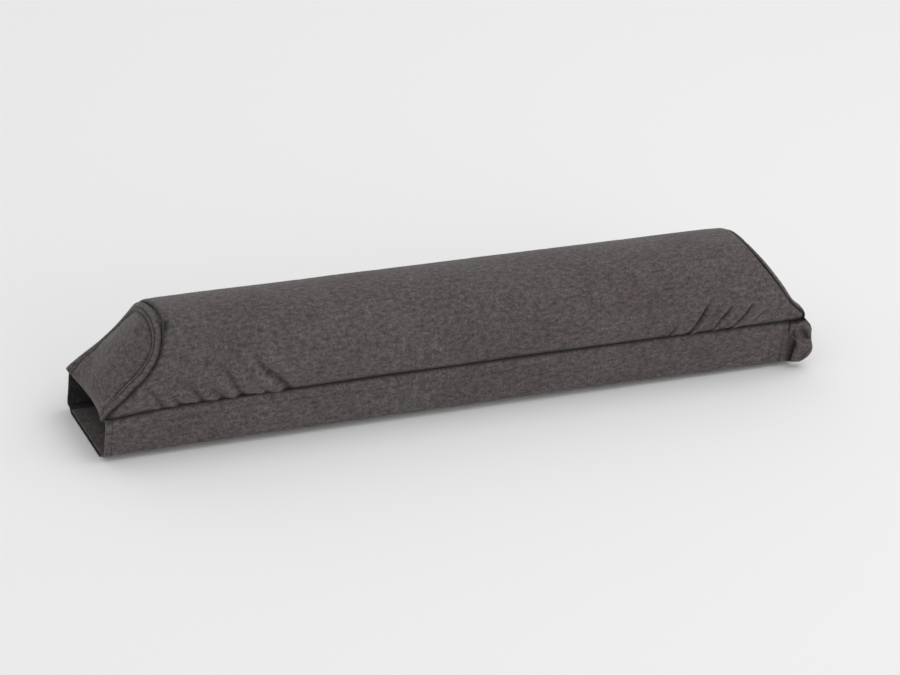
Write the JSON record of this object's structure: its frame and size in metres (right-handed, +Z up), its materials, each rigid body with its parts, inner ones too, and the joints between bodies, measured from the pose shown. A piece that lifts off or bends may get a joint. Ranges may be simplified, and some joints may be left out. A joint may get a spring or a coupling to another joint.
{
  "type": "roof rack pad",
  "caption": "Long foam pad in a sewn cloth cover with sloping ends, whose two flaps wrap a flat crossbar and close beneath it.",
  "frame": {"origin": "on the lowest face, which is the underside of the closed flaps, under the middle of the bar and halfway along the seams", "axes": "+X along the bar and the pad, towards the end with the folded-back flap; +Y across the bar, towards the back flap; +Z up, from the flaps to the crown"},
  "size_m": [0.5983, 0.0958, 0.1014],
  "materials": {
    "foam": "closed-cell foam, matte",
    "cover_cloth": "coarse coated plain weave, matte with a slight sheen",
    "closure_tape": "hook and loop pile, matte"
  },
  "bodies": {
    "root": {"foam_core": "foam", "crown_panel": "cover_cloth", "left_end_panel": "cover_cloth", "right_end_panel": "cover_cloth", "base_panel": "cover_cloth", "front_flap": "cover_cloth", "back_flap": "cover_cloth", "loop_tape": "closure_tape", "hook_tape": "closure_tape"}
  },
  "joints": []
}
